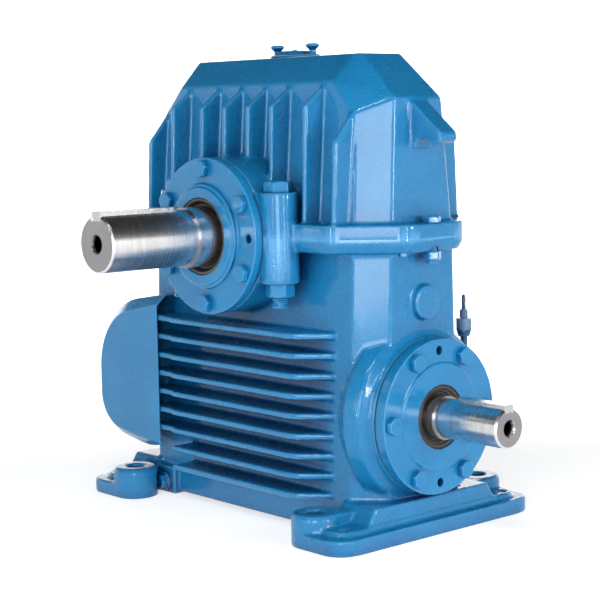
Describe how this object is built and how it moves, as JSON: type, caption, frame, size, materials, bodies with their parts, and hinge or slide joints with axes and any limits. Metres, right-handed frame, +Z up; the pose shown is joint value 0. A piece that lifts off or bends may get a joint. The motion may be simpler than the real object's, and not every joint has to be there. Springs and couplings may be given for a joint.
{
  "type": "industrial gearbox",
  "caption": "Heavy-duty worm gearbox in a ribbed, horizontally split cast casing on feet, with keyed input and output shafts at right angles and a fan cowl behind the worm.",
  "frame": {"origin": "centre of the foot bolt pattern on the floor plane", "axes": "+X along the worm shaft towards the input extension, -Y towards the output extension, +Z up"},
  "size_m": [0.644, 0.457, 0.5621],
  "materials": {
    "casing_paint": "gloss enamel over cast iron",
    "painted_fasteners": "gloss enamel over steel",
    "shaft_steel": "turned and ground",
    "bearing_steel": "ground",
    "wheel_iron": "as cast with machined bosses",
    "dark_steel": "blackened",
    "bronze": "machined bronze",
    "seal_rubber": "smooth",
    "gasket_fibre": "matte",
    "copper": "soft copper",
    "fan_plastic": "moulded",
    "fittings_steel": "gloss enamel over steel"
  },
  "bodies": {
    "casing": {"lower_casing": "casing_paint", "upper_casing": "casing_paint", "lifting_lugs": "casing_paint", "clamp_bolts": "painted_fasteners", "clamp_nuts": "painted_fasteners", "end_flange_bolts": "painted_fasteners", "end_flange_nuts": "painted_fasteners", "dowel_pins": "shaft_steel", "output_cover": "casing_paint", "output_cover_gasket": "gasket_fibre", "output_cover_bolts": "painted_fasteners", "output_seal": "seal_rubber", "blank_cover": "casing_paint", "blank_cover_gasket": "gasket_fibre", "blank_cover_bolts": "painted_fasteners", "front_output_outer_race": "bearing_steel", "back_output_outer_race": "bearing_steel", "front_worm_outer_race": "bearing_steel", "back_worm_outer_race": "bearing_steel", "input_cover": "casing_paint", "input_cover_gasket": "gasket_fibre", "input_cover_bolts": "painted_fasteners", "input_seal": "seal_rubber", "rear_worm_cover": "casing_paint", "rear_worm_cover_gasket": "gasket_fibre", "rear_worm_cover_bolts": "painted_fasteners", "rear_seal": "seal_rubber", "fan_cowl": "casing_paint", "cowl_screws": "painted_fasteners", "drain_plug": "painted_fasteners", "drain_washer": "copper", "inspection_gasket": "gasket_fibre", "inspection_cover": "casing_paint", "thumb_knobs": "painted_fasteners", "level_elbow": "fittings_steel", "level_pipe": "fittings_steel"},
    "output": {"output_shaft": "shaft_steel", "output_key": "shaft_steel", "wheel_centre": "wheel_iron", "wheel_rim": "bronze", "rim_screws": "dark_steel", "wheel_key": "shaft_steel", "front_spacer": "shaft_steel", "back_spacer": "shaft_steel", "front_output_inner_race": "bearing_steel", "front_output_rollers": "bearing_steel", "back_output_inner_race": "bearing_steel", "back_output_rollers": "bearing_steel"},
    "worm": {"worm_shaft": "shaft_steel", "input_key": "shaft_steel", "front_worm_inner_race": "bearing_steel", "front_worm_rollers": "bearing_steel", "back_worm_inner_race": "bearing_steel", "back_worm_rollers": "bearing_steel", "worm_locknut": "dark_steel", "fan": "fan_plastic", "fan_circlip": "dark_steel"},
    "dipstick": {"dipstick": "fittings_steel"}
  },
  "joints": [
    {"name": "output_spin", "type": "hinge", "parent": "casing", "child": "output", "pos_m": [0, 0, 0.3382], "axis": [0, 1, 0], "continuous": true},
    {"name": "worm_spin", "type": "hinge", "parent": "casing", "child": "worm", "pos_m": [0, 0, 0.135], "axis": [1, 0, 0], "continuous": true},
    {"name": "dipstick_slide", "type": "slide", "parent": "casing", "child": "dipstick", "axis": [0, 0, 1], "range_m": [0, 0.12]}
  ],
  "couplings": [
    {"joint": "worm_spin", "follows": "output_spin", "ratio": 20}
  ]
}
